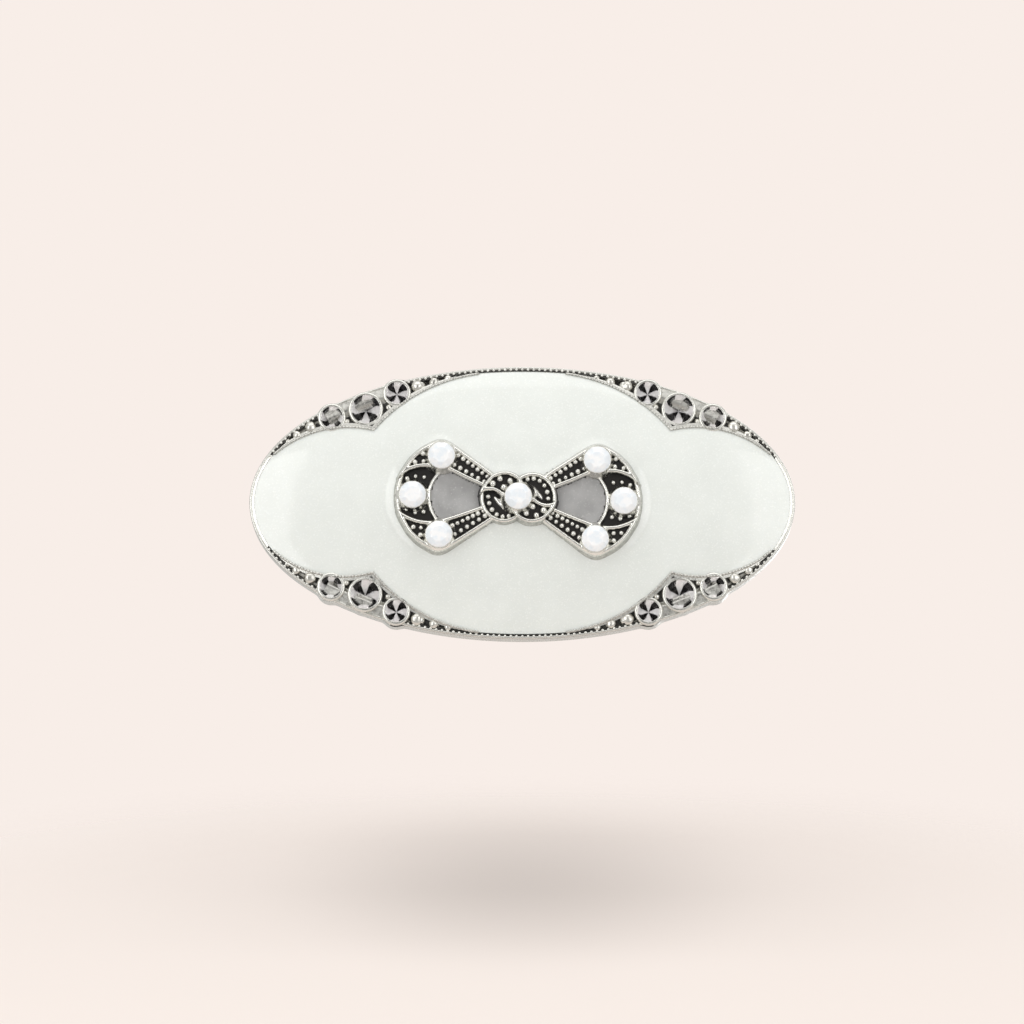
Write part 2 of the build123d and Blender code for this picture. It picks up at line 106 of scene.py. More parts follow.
# %% [markdown]
# ### Plated casting
# Antique silver plate: a bright, slightly warm metal on what the polishing mop touches, and near
# black oxide in what it can't reach. The mesh carries how exposed each point is in an attribute
# called crest, from 0 in a hollow to 1 on a rubbed edge. Noise at 0.4 mm breaks up the border
# between the two, and fine pits of 0.09 mm give the cast skin.

# %% Antique silver plate
def antique_silver(name, bright, dark, exposed, smooth, rough):
    """exposed is how bare the metal is all over, or None where the mesh carries it as crest."""
    made, tree, place = new_finish(name)
    worn = node(tree, "TexNoise", {"Vector": place, "Scale": per_mm(0.4), "Detail": 4.0})
    pits = node(tree, "TexNoise", {"Vector": place, "Scale": per_mm(0.09), "Detail": 2.0})
    if exposed is None:
        exposed = node(tree, "Attribute", attribute_name="crest").outputs["Fac"]
    patchy = node(tree, "Math", {0: worn.outputs["Fac"], 1: 0.28, 2: -0.14}, operation="MULTIPLY_ADD")
    shown = node(tree, "Math", {0: exposed, 1: patchy.outputs[0]}, operation="ADD")
    base = ramp(tree, shown.outputs[0], 0.3, 0.62, colour(dark), colour(bright))
    metal = node(tree, "MapRange", {"Value": shown.outputs[0], "From Min": 0.2, "From Max": 0.5,
                                    "To Min": 0.55, "To Max": 1.0})
    gloss = node(tree, "MapRange", {"Value": worn.outputs["Fac"], "From Min": 0.3, "From Max": 0.7,
                                    "To Min": smooth, "To Max": rough})
    dull = node(tree, "MapRange", {"Value": shown.outputs[0], "From Min": 0.25, "From Max": 0.6,
                                   "To Min": 0.5, "To Max": 0.0})
    total = node(tree, "Math", {0: gloss.outputs[0], 1: dull.outputs[0]}, operation="MAXIMUM")
    skin = node(tree, "Bump", {"Height": pits.outputs["Fac"], "Strength": 0.25, "Distance": 0.02 * MM})
    shader = node(tree, "BsdfPrincipled", {"Base Color": base, "Metallic": metal.outputs[0],
                                           "Roughness": total.outputs[0], "Normal": skin.outputs[0]})
    node(tree, "OutputMaterial", {"Surface": shader.outputs[0]})
    return made


relief_silver = antique_silver("antique_silver_relief", "e8e7e1", "262422", None, 0.13, 0.3)
bright_silver = antique_silver("antique_silver_rubbed", "e0dfd9", "1c1a18", 0.8, 0.18, 0.36)
black_oxide = antique_silver("black_oxide_hollow", "7d7c79", "2a2927", 0.34, 0.26, 0.42)
satin_silver = antique_silver("antique_silver_satin", "d6d5cf", "4a4845", 0.56, 0.2, 0.4)
granule_silver = antique_silver("antique_silver_granule", "dad8d1", "34322f", 0.66, 0.24, 0.4)
cast_back = antique_silver("plated_casting_back", "c6c4bd", "45433f", 0.5, 0.32, 0.52)
print("silver finishes made")

# %% [markdown]
# ### Pearl enamel
# A cold enamel: clear resin filled with white pigment and mica flakes, so it is milky, glossy and
# faintly glittering. Mica flakes are about 0.03 mm; here they are drawn at 0.11 mm, because finer
# ones would not show. The flakes are real, but their glitter is painted: a share of them is painted
# lighter than the body, a painted glint. The gloss is a clear coat over a softer body.

# %% Enamels
def resin_enamel(name, light, deep, flake, flake_share, cloud_size):
    """Clouds of two shades, cloud_size millimetres wide, with a share of flakes painted lighter as painted
    glints.
    """
    made, tree, place = new_finish(name)
    cloud = node(tree, "TexNoise", {"Vector": place, "Scale": per_mm(cloud_size), "Detail": 3.0})
    body = ramp(tree, cloud.outputs["Fac"], 0.3, 0.7, colour(deep), colour(light))
    flakes = node(tree, "TexVoronoi", {"Vector": place, "Scale": per_mm(0.11)}, feature="F1")
    picked = node(tree, "SeparateColor", {0: flakes.outputs["Color"]})
    # Painted glint: the picked share of flakes is painted lighter than the body.
    lit = node(tree, "MapRange", {"Value": picked.outputs[0], "From Min": 1 - flake_share, "From Max": 1.0,
                                  "To Max": 0.6})
    flakes_with_painted_glint = node(tree, "Mix", {0: lit.outputs[0], 6: body, 7: colour(flake)}, data_type="RGBA")
    level = node(tree, "TexNoise", {"Vector": place, "Scale": per_mm(6.0), "Detail": 1.0})
    wave = node(tree, "Bump", {"Height": level.outputs["Fac"], "Strength": 0.35, "Distance": 0.08 * MM})
    shader = node(tree, "BsdfPrincipled", {
        "Base Color": flakes_with_painted_glint.outputs[2], "Roughness": 0.42, "IOR": 1.5, "Coat Weight": 1.0,
        "Coat Roughness": 0.06, "Coat IOR": 1.5, "Subsurface Weight": 0.12,
        "Subsurface Scale": 0.4 * MM, "Coat Normal": wave.outputs[0]})
    shader.inputs["Subsurface Radius"].default_value = (1.0, 0.95, 0.85)
    node(tree, "OutputMaterial", {"Surface": shader.outputs[0]})
    return made


pearl_enamel = resin_enamel("pearl_resin_enamel", "ebeee9", "e6e9e4", "f8faf6", 0.2, 3.5)
grey_enamel = resin_enamel("grey_resin_enamel", "b4b3b2", "9b9a99", "c6c4c2", 0.10, 2.2)
print("enamels made")

# %% [markdown]
# ### Foiled crystal and opal glass
# A chaton is cut glass with its point silvered behind. Light goes in through the crown, bounces
# off the foil and comes out in spokes. Following light through glass takes a long render, so here
# the crown is clear and mostly see-through, and the spokes are painted light: the pavilion's faces
# take painted bright and painted dark foil by turns, a painted reflection that draws the spokes.
# The opal glass stones are milky: light scatters inside them, with a pale blue cast.

# %% Glass
def clear_glass():
    made, tree, place = new_finish("clear_crystal_glass")
    haze = node(tree, "TexNoise", {"Vector": place, "Scale": per_mm(0.5)})
    tint = ramp(tree, haze.outputs["Fac"], 0.35, 0.7, colour("ffffff"), colour("fdf8f9"))
    shader = node(tree, "BsdfPrincipled", {"Base Color": tint, "Roughness": 0.0, "IOR": 1.56,
                                           "Transmission Weight": 1.0, "Alpha": 0.25})
    node(tree, "OutputMaterial", {"Surface": shader.outputs[0]})
    return made


def painted_spoke_foil(name, dim, bright, metal):
    """Silvering that crinkles between two shades, used for the painted bright and painted dark spokes."""
    made, tree, place = new_finish(name)
    crinkle = node(tree, "TexNoise", {"Vector": place, "Scale": per_mm(0.6), "Detail": 2.0})
    silvering = ramp(tree, crinkle.outputs["Fac"], 0.3, 0.7, colour(dim), colour(bright))
    shader = node(tree, "BsdfPrincipled", {"Base Color": silvering, "Metallic": metal, "Roughness": 0.16})
    node(tree, "OutputMaterial", {"Surface": shader.outputs[0]})
    return made


def opal_glass():
    made, tree, place = new_finish("opal_glass")
    cloud = node(tree, "TexNoise", {"Vector": place, "Scale": per_mm(0.9), "Detail": 2.0})
    milk = ramp(tree, cloud.outputs["Fac"], 0.4, 0.58, colour("f1f6fb"), colour("ffffff"))
    shader = node(tree, "BsdfPrincipled", {
        "Base Color": milk, "Roughness": 0.12, "IOR": 1.52, "Subsurface Weight": 0.25,
        "Subsurface Scale": 0.5 * MM, "Coat Weight": 0.6, "Coat Roughness": 0.05, "Coat IOR": 1.52})
    shader.inputs["Subsurface Radius"].default_value = (1.0, 1.0, 1.0)
    node(tree, "OutputMaterial", {"Surface": shader.outputs[0]})
    return made


crystal_crown, opal_milk = clear_glass(), opal_glass()
# Painted reflection: one foil painted bright and one painted dark, for the lit and the shaded spokes.
painted_bright_spoke_foil = painted_spoke_foil("painted_spoke_foil", "fbf6f6", "ffffff", 0.35)
painted_dark_spoke_foil = painted_spoke_foil("painted_dark_spoke_foil", "1d1c1d", "3a3839", 0.9)
print("glass made")

# %% [markdown]
# ### Plated steel of the pin finding
# The bar, hinge and safety catch are pressed from thin strip and nickel plated. Rolling leaves
# fine lines along the strip, drawn here at 0.05 mm across and 2 mm long. The pin is hard drawn
# wire, polished smoother than the strip.

# %% Steel
def plated_steel(name, bright, smooth, rough, line_length):
    """Lines run along the brooch, line_length millimetres long."""
    made, tree, place = new_finish(name)
    stretch = per_mm(line_length), per_mm(0.05), per_mm(0.05)
    drawn = node(tree, "Mapping", {"Vector": place, "Scale": stretch})
    lines = node(tree, "TexNoise", {"Vector": drawn.outputs[0], "Scale": 1.0, "Detail": 2.0})
    stain = node(tree, "TexNoise", {"Vector": place, "Scale": per_mm(2.5), "Detail": 3.0})
    base = ramp(tree, stain.outputs["Fac"], 0.3, 0.7, colour(bright), colour("b7b5af"))
    gloss = node(tree, "MapRange", {"Value": lines.outputs["Fac"], "From Min": 0.3, "From Max": 0.7,
                                    "To Min": smooth, "To Max": rough})
    skin = node(tree, "Bump", {"Height": lines.outputs["Fac"], "Strength": 0.12, "Distance": 0.01 * MM})
    shader = node(tree, "BsdfPrincipled", {"Base Color": base, "Metallic": 1.0,
                                           "Roughness": gloss.outputs[0], "Normal": skin.outputs[0]})
    node(tree, "OutputMaterial", {"Surface": shader.outputs[0]})
    return made


strip_steel = plated_steel("nickel_plated_strip", "cfcdc8", 0.2, 0.38, 2.0)
pin_steel = plated_steel("polished_pin_wire", "dcdad6", 0.12, 0.24, 6.0)
print("steel made")

# %% [markdown]
# ## Shapes on the face
# The dome's front has one height formula, the same one that the casting was cut to. The outline
# is an oval, and a place on it is given by the oval's own angle and how far inside it lies.

# %% The oval and the dome
_, casting_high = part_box("body_casting")
HALF_LENGTH = casting_high.x / MM
HALF_WIDTH = casting_high.z / MM
EDGE_HEIGHT = 2.2
DOME_RISE = 2.4
RIM = 0.5


def dome(x, z):
    """Height of the domed front over a point of the face."""
    return EDGE_HEIGHT + DOME_RISE * (1 - (x / HALF_LENGTH) ** 2 - (z / HALF_WIDTH) ** 2)


def on_oval(angle, inset):
    """The point this far inside the outline, square to it."""
    across, up = math.cos(angle) / HALF_LENGTH, math.sin(angle) / HALF_WIDTH
    size = math.hypot(across, up)
    return np.array((HALF_LENGTH * math.cos(angle) - inset * across / size,
                     HALF_WIDTH * math.sin(angle) - inset * up / size))


def inset_of(x, z):
    """About how far inside the outline a point lies."""
    level = (x / HALF_LENGTH) ** 2 + (z / HALF_WIDTH) ** 2
    slope = 2 * np.hypot(x / HALF_LENGTH ** 2, z / HALF_WIDTH ** 2)
    return (1 - level) / np.maximum(slope, 1e-6)


print("oval", HALF_LENGTH, HALF_WIDTH, "dome", dome(0, 0))

# %% [markdown]
# Four small tools do all the drawing: a smooth curve through given points, the nearest place of a
# line to each of many points, whether points lie inside a closed line, and how deep.

# %% Line tools
def smooth_curve(points, closed=False, steps=8):
    """A Catmull-Rom curve through the points."""
    p = [np.array(q, float) for q in points]
    n = len(p)
    made = []
    for i in range(n if closed else n - 1):
        a, b = p[i], p[(i + 1) % n]
        before = p[i - 1] if closed or i else 2 * a - b
        after = p[(i + 2) % n] if closed or i + 2 < n else 2 * b - a
        for step in range(steps):
            t = step / steps
            made.append(0.5 * (2 * a + (b - before) * t + (2 * before - 5 * a + 4 * b - after) * t ** 2
                               + (3 * a - before - 3 * b + after) * t ** 3))
    if not closed:
        made.append(p[-1])
    return np.array(made)


def nearest(points, line, closed=False):
    """Each point's distance to a line, and the nearest place on it."""
    best = np.full(len(points), 1e9)
    foot = np.zeros_like(points)
    ends = np.vstack((line, line[:1])) if closed else line
    for a, b in zip(ends[:-1], ends[1:]):
        run = b - a
        t = np.clip(((points - a) @ run) / max(run @ run, 1e-12), 0, 1)
        spot = a + t[:, None] * run
        d = np.hypot(*(points - spot).T)
        closer = d < best
        best[closer] = d[closer]
        foot[closer] = spot[closer]
    return best, foot


def within(points, line):
    """Which points lie inside a closed line."""
    found = np.zeros(len(points), bool)
    x, z = points.T
    for a, b in zip(line, np.roll(line, -1, axis=0)):
        crosses = (a[1] > z) != (b[1] > z)
        if a[1] != b[1]:
            found ^= crosses & (x < (b[0] - a[0]) * (z - a[1]) / (b[1] - a[1]) + a[0])
    return found


def depth_in(points, line):
    """Distance inside a closed line, negative outside it."""
    d = nearest(points, line, closed=True)[0]
    return np.where(within(points, line), d, -d)


# %% [markdown]
# Every mesh goes through one helper that links it, gives it a finish and lets it ride on the
# brooch.

# %% Piece helper
def add_piece(name, verts, faces, finish, body="brooch", crest=None, sharp=40):
    """verts are in millimetres: x, height, z. Faces more than sharp degrees apart stay crisp."""
    mesh = bpy.data.meshes.new(name)
    verts = np.asarray(verts, float)
    mesh.from_pydata(np.column_stack((verts[:, 0], -verts[:, 1], verts[:, 2])) * MM, [], faces)
    if crest is not None:
        held = mesh.attributes.new("crest", "FLOAT", "POINT")
        held.data.foreach_set("value", np.asarray(crest, np.float32))
    fix = bmesh.new()
    fix.from_mesh(mesh)
    bmesh.ops.recalc_face_normals(fix, faces=fix.faces)
    fix.to_mesh(mesh)
    fix.free()
    mesh.shade_smooth()
    mesh.set_sharp_from_angle(angle=math.radians(sharp))
    mesh.materials.append(finish)
    piece = bpy.data.objects.new(name, mesh)
    scene.collection.objects.link(piece)
    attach(piece, body)
    print(name, len(mesh.vertices), "points", len(mesh.polygons), "faces")
    return piece


# %% [markdown]
# ### Relief pieces
# The enamel and the bow are low reliefs: one height over each point of the face. A square grid is
# laid over the shape, the cells inside it are kept, and grid points near an edge or a ridge line
# move onto it, so that the edges run smoothly and not in steps. A skirt down to a flat back
# closes the piece.

# %% Relief helper
def relief(low, high, step, keep, lines, height, back):
    """Vertices, faces and plan of a closed relief. keep tells which cells are inside it, and
    height and back give the two surfaces. Grid points move onto lines, each given with False for
    an open line, True for a closed one, or "edge" for one that rim points reach from further off."""
    xs = np.arange(low[0], high[0] + step, step)
    zs = np.arange(low[1], high[1] + step, step)
    grid = np.array([(x, z) for z in zs for x in xs])
    columns = len(xs)
    corner = np.array([r * columns + c for r in range(len(zs) - 1) for c in range(columns - 1)])
    cells = np.column_stack((corner, corner + 1, corner + columns + 1, corner + columns))
    middles = grid[cells].mean(axis=1)
    cells = cells[keep(middles)]
    used, cells = np.unique(cells, return_inverse=True)
    cells = cells.reshape(-1, 4)
    points = grid[used]
    edges = {}
    for cell in cells:
        for a, b in zip(cell, np.roll(cell, -1)):
            edges[(a, b)] = True
    rim = [(a, b) for a, b in edges if (b, a) not in edges]
    on_rim = np.zeros(len(points), bool)
    on_rim[[a for a, b in rim]] = True
    for line, closed in lines:
        d, foot = nearest(points, line, closed)
        move = (d < 0.45 * step) | (on_rim & (d < 1.3 * step) if closed == "edge" else False)
        points[move] = foot[move]
    count = len(points)
    top = np.column_stack((points[:, 0], height(points), points[:, 1]))
    under = np.column_stack((points[:, 0], back(points), points[:, 1]))
    faces = [tuple(c) for c in cells] + [tuple(c[::-1] + count) for c in cells]
    faces += [(b, a, a + count, b + count) for a, b in rim]
    return np.vstack((top, under)), faces, points


# %% [markdown]
# ## The pearl enamel field
# The resin fills a sunk field to the level of its wires, so it follows the dome. It shrinks a
# little at the rim and creeps up the wall of the bow in a soft fillet, which catches the light as
# a pale halo. Four lobes bow out between the corners, and two of them meet in a point under each
# large crystal.

# %% Corner panels and the field's outline
LARGE = 3.1
BEZEL = 0.26
CORNER_ANGLE = math.radians(53.3)
PANEL_TOP = math.radians(80.8)
PANEL_SIDE = math.radians(21.8)
CUSP_GAP = 0.56
LARGE_INSET = 1.88


def bowed(start, end, rise, steps=28):
    """An arc from start to end that bows out to its left by rise."""
    run = end - start
    size = math.hypot(*run)
    side = np.array((-run[1], run[0])) / size
    radius = (size * size / 4 + rise * rise) / (2 * rise)
    centre = (start + end) / 2 + side * (rise - radius)
    half = math.asin(size / 2 / radius)
    facing = math.atan2(side[1], side[0])
    turns = np.linspace(facing + half, facing - half, steps)
    return centre + radius * np.column_stack((np.cos(turns), np.sin(turns)))


cusp = on_oval(CORNER_ANGLE, LARGE_INSET + LARGE / 2 + BEZEL + CUSP_GAP)
top_lobe = bowed(on_oval(PANEL_TOP, RIM), cusp, 1.2)
side_lobe = bowed(cusp, on_oval(PANEL_SIDE, RIM), 1.35)
panel_wire = np.vstack((top_lobe, side_lobe[1:]))
print("cusp at", cusp.round(2), "wire ends", panel_wire[0].round(2), panel_wire[-1].round(2))

MIRRORS = {"upper_right": (1, 1), "upper_left": (-1, 1), "lower_right": (1, -1), "lower_left": (-1, -1)}


def rim_run(start, end, steps):
    return np.array([on_oval(a, RIM) for a in np.linspace(start, end, steps)])


right_end = rim_run(-PANEL_SIDE, PANEL_SIDE, 40)
top_end = rim_run(PANEL_TOP, math.pi - PANEL_TOP, 30)
field_edge = np.vstack((right_end, panel_wire[::-1], top_end[1:-1], panel_wire * (-1, 1),
                        -right_end[1:-1], (panel_wire * (-1, -1))[::-1], -top_end[1:-1],
                        panel_wire * (1, -1)))

# %% [markdown]
# ## The bow's lines
# The bow is drawn in its own plane: u runs along it and w across, turned 1.7 degrees and shifted
# a little, as it was soldered by hand. Each loop is a folded ribbon. Two front ribbons run from
# the knot to the loop's end, and a back ribbon turns behind them. The ribbon is a channel: a
# rolled edge each side of a sunk, blackened floor with two rows of beads.

# %% Bow frame and ribbon outlines
BOW_TURN = math.radians(1.7)
BOW_SHIFT = -0.43


def bow_to_face(points):
    """From the bow's plane to the face."""
    p = np.atleast_2d(np.asarray(points, float))
    c, s = math.cos(BOW_TURN), math.sin(BOW_TURN)
    return np.column_stack((BOW_SHIFT + p[:, 0] * c + p[:, 1] * s, p[:, 1] * c - p[:, 0] * s))


def face_to_bow(points):
    p = np.asarray(points, float) - (BOW_SHIFT, 0)
    c, s = math.cos(BOW_TURN), math.sin(BOW_TURN)
    return np.column_stack((p[:, 0] * c - p[:, 1] * s, p[:, 0] * s + p[:, 1] * c))


straight_side = [(2.0, 1.9), (3.27, 2.86), (4.53, 3.73), (5.8, 4.6)]
loop_top = smooth_curve(straight_side + [(7.0, 5.4), (7.6, 5.71), (8.15, 5.83), (8.75, 5.73), (9.36, 5.41),
                                         (10.1, 4.98), (10.7, 4.48), (11.3, 3.85), (11.79, 3.1),
                                         (12.2, 2.4), (12.5, 1.67), (12.7, 0.85), (12.75, 0.0)])
loop_edge = np.vstack((loop_top, (loop_top * (1, -1))[::-1][1:]))
upper_fold = smooth_curve([(2.6, 0.62), (3.9, 1.19), (5.5, 1.87), (7.15, 2.64), (8.0, 2.82), (8.8, 2.93),
                           (9.8, 3.0), (10.8, 2.83), (11.7, 2.44), (12.5, 1.8)])
lower_fold = smooth_curve([(2.6, -0.55), (3.9, -1.03), (5.8, -1.77), (7.5, -2.38), (8.3, -2.62),
                           (9.2, -2.72), (10.4, -2.6), (11.5, -2.2), (12.5, -1.62)])
back_turn = smooth_curve([(7.75, 2.75), (8.3, 2.2), (8.8, 1.45), (9.08, 0.6), (9.1, -0.1), (9.0, -0.85),
                          (8.75, -1.6), (8.3, -2.3), (7.95, -2.6)])
upper_ribbon = np.vstack((loop_top[loop_top[:, 1] > 1.85], upper_fold[::-1]))
lower_ribbon = np.vstack(((loop_top * (1, -1))[loop_top[:, 1] > 1.67], lower_fold[::-1]))
back_ribbon = np.vstack((back_turn, [(8.6, -4.2), (10.4, -4.3)],
                         loop_edge[(np.abs(loop_edge[:, 1]) < 3.0) & (loop_edge[:, 0] > 9)][::-1],
                         [(10.4, 4.3), (8.6, 4.2)]))
window = np.vstack((upper_fold[upper_fold[:, 0] < 7.9], back_turn,
                    lower_fold[lower_fold[:, 0] < 8.1][::-1]))

band_upper = [(-4.0, 0.15), (-3.78, 0.96), (-2.95, 2.06), (-2.15, 2.52), (-1.35, 2.65), (-0.6, 2.5),
              (0.08, 2.08), (0.52, 1.5), (0.98, 0.75), (1.62, 0.02), (2.3, -0.48), (2.96, -0.63),
              (3.57, -0.52), (4.0, -0.2)]
band_top = smooth_curve(band_upper)
knot_band = np.vstack((band_top, -band_top[1:-1]))


def knot_side(points):
    """Depth inside the knot's two overlapping rounds."""
    deep = np.full(len(points), -9.0)
    for side in (-1, 1):
        x, z = (points[:, 0] - side * 1.5) / 2.45, points[:, 1] / 2.65
        size = np.hypot(x, z)
        away = (1 - size) * size / np.maximum(np.hypot(x / 2.45, z / 2.65), 1e-6)
        deep = np.maximum(deep, away)
    return deep


turn = np.linspace(0, 2 * math.pi, 96, endpoint=False)
knot_rounds = [np.column_stack((side * 1.5 + 2.45 * np.cos(turn), 2.65 * np.sin(turn))) for side in (-1, 1)]
print("bow lines:", len(loop_edge), "loop points,", len(knot_band), "knot band points")

# %% [markdown]
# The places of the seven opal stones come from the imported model: the middle of each stone's box.

# %% Opal places
opal_places = {}
for name in nodes:
    if name.startswith("opal_"):
        low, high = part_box(name)
        opal_places[name] = (np.array(((low.x + high.x) / 2, (low.z + high.z) / 2)) / MM, -low.y / MM)
opal_middles = face_to_bow([place for place, front in opal_places.values()])
OPAL = 2.75
TABLE_SHARE = 0.56  # a cut stone's table over its girdle
CROWN_SLOPE = math.radians(36.0)


def crown_height(radius):
    return radius * (1 - TABLE_SHARE) * math.tan(CROWN_SLOPE)


opal_lips = [front - crown_height(OPAL / 2) for place, front in opal_places.values()]
print({n: (p.round(2).tolist(), round(f, 2)) for n, (p, f) in opal_places.items()})

# %% [markdown]
# ### The bow's height
# Each ribbon gives a height from how deep a point lies inside it: a steep outer side, a rounded
# rolled edge 0.3 mm wide, then the floor. Where ribbons cross, the higher one wins, which makes
# the folds overlap as real ribbon does. The outer walls lean out by 0.45 mm, as a casting does to
# leave its mould. A steep low cone of metal meets each stone's collet.

# %% Height of the bow
FRONT_CREST, FRONT_FLOOR = 5.4, 4.98
BACK_CREST, BACK_FLOOR = 4.95, 4.58
BAND_CREST, BAND_FLOOR = 5.95, 5.5
KNOT_CREST, KNOT_FLOOR = 5.55, 5.12
BOW_BACK = 3.3
WALL_FOOT = 3.6  # height where an outer wall has leant out all the way
WALL_LEAN = 0.45
ROLL = 0.2  # half the rolled edge's width
ROUNDING = 0.12


def channel(depth, crest, floor, lean):
    """Height across a ribbon, from its outer wall to its floor."""
    roll = np.sqrt(np.clip(1 - ((depth - ROLL) / ROLL) ** 2, 0, 1))
    inner = floor + (crest - floor) * roll
    outer = crest - ROUNDING * np.clip(1 - depth / ROLL, 0, 1) ** 2
    wall = crest - ROUNDING + (crest - ROUNDING - WALL_FOOT) * depth / lean
    return np.where(depth >= ROLL, inner, np.where(depth >= 0, outer, wall))


def lay(made, crest, h, low, high, where=True):
    """Lays one ribbon over what is there: the higher surface wins, with its own crest."""
    wins = (h > made) & where
    share = np.clip((h - low) / (high - low) * 1.25, 0, 1)
    return np.where(wins, h, made), np.where(wins, share, crest)


def bow_height(points):
    """Height and crest of the bow over points of its own plane."""
    folded = np.column_stack((np.abs(points[:, 0]), points[:, 1]))
    in_loop, in_knot = depth_in(folded, loop_edge), knot_side(points)
    in_band = depth_in(points, knot_band)
    free = in_knot < 0.05
    lean = np.where(in_loop < 0, WALL_LEAN, 0.12)
    made, crest = np.full(len(points), BOW_BACK), np.zeros(len(points))
    for ribbon, high, low in ((back_ribbon, BACK_CREST, BACK_FLOOR), (upper_ribbon, FRONT_CREST, FRONT_FLOOR),
                              (lower_ribbon, FRONT_CREST, FRONT_FLOOR)):
        made, crest = lay(made, crest, channel(depth_in(folded, ribbon), high, low, lean), low, high, free)
    near_knot = np.abs(points[:, 0]) < 5
    h = channel(in_knot, KNOT_CREST, KNOT_FLOOR, WALL_LEAN)
    made, crest = lay(made, crest, h, KNOT_FLOOR, KNOT_CREST, near_knot)
    h = channel(in_band, BAND_CREST, BAND_FLOOR, np.where(in_knot < 0.02, WALL_LEAN, 0.1))
    made, crest = lay(made, crest, h, BAND_FLOOR, BAND_CREST, near_knot)
    crest[(in_loop < 0) & (in_knot < 0.02)] = 0.5
    for middle, lip in zip(opal_middles, opal_lips):
        away = np.hypot(*(points - middle).T)
        skirt = lip - 0.08 - 1.9 * (away - 1.38)
        near = (away > 1.3) & (away < 1.9) & (skirt > made) & ((in_loop > 0.1) | (in_knot > 0.1))
        made = np.where(near, skirt, made)
        crest = np.where(near, 0.55, crest)
        cup = lip - 0.25 - 1.0 * np.clip(1.3 - away, 0, None)
        made = np.where(away <= 1.3, np.minimum(made, cup), made)
    for side in (-1, 1):
        lens = (points - (side * 1.8, side * 0.69)) @ np.array(((0.73, 0.68), (0.68, -0.73)))
        level = 1 - (lens[:, 0] / 0.25) ** 2 - (lens[:, 1] / 1.05) ** 2
        raised = KNOT_FLOOR + 0.2 * np.sqrt(np.clip(level, 0, 1))
        shown = (level > 0) & (in_band < 0)
        made = np.where(shown, np.maximum(made, raised), made)
        crest = np.where(shown, 0.6, crest)
    return made, crest


def bow_keep(middles):
    folded = np.column_stack((np.abs(middles[:, 0]), middles[:, 1]))
    return (depth_in(folded, loop_edge) > -0.5) | (knot_side(middles) > -0.5)


snap_lines = [(line * side, False) for side in ((1, 1), (-1, 1))
              for line in (loop_edge, upper_fold, lower_fold, back_turn)]
snap_lines += [(knot_band, True)] + [(line, True) for line in knot_rounds]
for middle in opal_middles:
    snap_lines.append((middle + 1.42 * np.column_stack((np.cos(turn), np.sin(turn))), True))
verts, faces, plan = relief((-13.6, -6.7), (13.6, 6.7), 0.085, bow_keep, snap_lines,
                            lambda p: bow_height(p)[0], lambda p: np.full(len(p), BOW_BACK))
crest = bow_height(plan)[1]
verts[:, [0, 2]] = bow_to_face(verts[:, [0, 2]])
bow = add_piece("bow_relief", verts, faces, relief_silver,
                crest=np.concatenate((crest, crest)), sharp=50)
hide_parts("bow_casting")

# %% [markdown]
# ### Beads on the ribbons
# Small shot beads stand in two rows along each front ribbon, three at each fold, and a row along
# the knot's bands. They were modelled in the master by hand, so they differ a little in size.

# %% Beads
random.seed(11)


def bead_mesh(spots, subdivisions=2, flat=0.8, rough=0.0):
    """One mesh of many small beads. A spot is x, height, z, radius."""
    shape = bmesh.new()
    bmesh.ops.create_icosphere(shape, subdivisions=subdivisions, radius=1)
    ball = np.array([v.co for v in shape.verts])
    skin = [[v.index for v in f.verts] for f in shape.faces]
    shape.free()
    verts, faces = [], []
    for x, height, z, radius in spots:
        start = len(verts)
        turned = ball
        if rough:
            shift = Vector((x, height, z))
            turned = np.array([p * (1 + rough * noise.noise(Vector(p) * 1.1 + shift)) for p in ball])
        verts.extend((x + radius * p[0], height + radius * flat * p[1], z + radius * p[2]) for p in turned)
        faces.extend([start + i for i in f] for f in skin)
    return np.array(verts), faces


def row(start, end, count):
    return [np.array(start) + (np.array(end) - start) * i / (count - 1) for i in range(count)]


loop_beads = row((6.35, 4.3), (3.3, 2.15), 7) + row((6.75, 3.3), (3.6, 1.62), 6)
loop_beads += row((6.45, -4.0), (3.4, -2.0), 6) + row((6.75, -3.12), (3.6, -1.5), 7)
loop_beads += [(10.04, 4.38), (10.85, 3.45), (9.98, 3.58), (10.8, -3.38), (10.02, -3.43), (10.05, -4.21)]
back_beads = [(9.85, 1.98), (10.75, 2.05), (11.6, 1.78), (9.8, -1.7), (10.67, -1.82), (11.6, -1.5)]
band_beads = [(-1.94, 1.86), (-0.9, 1.69), (-2.68, 1.33), (-1.54, 0.99)]
knot_beads = [(-3.11, 0.02), (-2.99, -0.67), (-2.68, -1.34), (-2.18, -1.84), (-1.56, -2.05), (-0.93, -1.96)]
bow_spots = []
for beads, floor, size in ((loop_beads, FRONT_FLOOR, 0.265), (back_beads, BACK_FLOOR, 0.26)):
    for u, w in beads:
        for side in (-1, 1):
            bow_spots.append((side * u, floor + 0.1, w, size * random.uniform(0.85, 1.12)))
for beads, floor, size in ((band_beads, BAND_FLOOR, 0.34), (knot_beads, KNOT_FLOOR, 0.27)):
    for u, w in beads:
        for side in (-1, 1):
            bow_spots.append((side * u, floor + 0.12, side * w, size * random.uniform(0.92, 1.08)))
spots = [(*bow_to_face((u, w))[0], h, r) for u, h, w, r in bow_spots]
verts, faces = bead_mesh([(x, h, z, r) for x, z, h, r in spots], 2, 0.95)
add_piece("bow_beads", verts, faces, bright_silver)

# %% [markdown]
# ### Grey enamel in the loops
# The floor of each loop holds a pool of grey resin. It is another relief, cut a hair inside the
# ribbons' edges, so that a fine dark line is left round it.

# %% Enamel in the loops
INLAY_TOP, INLAY_BACK = 4.6, 3.9


def window_height(points):
    """The grey resin in a loop, a little higher where it clings to the ribbons."""
    d = nearest(points, window, closed=True)[0]
    return INLAY_TOP + 0.06 * np.exp(-d / 0.35)


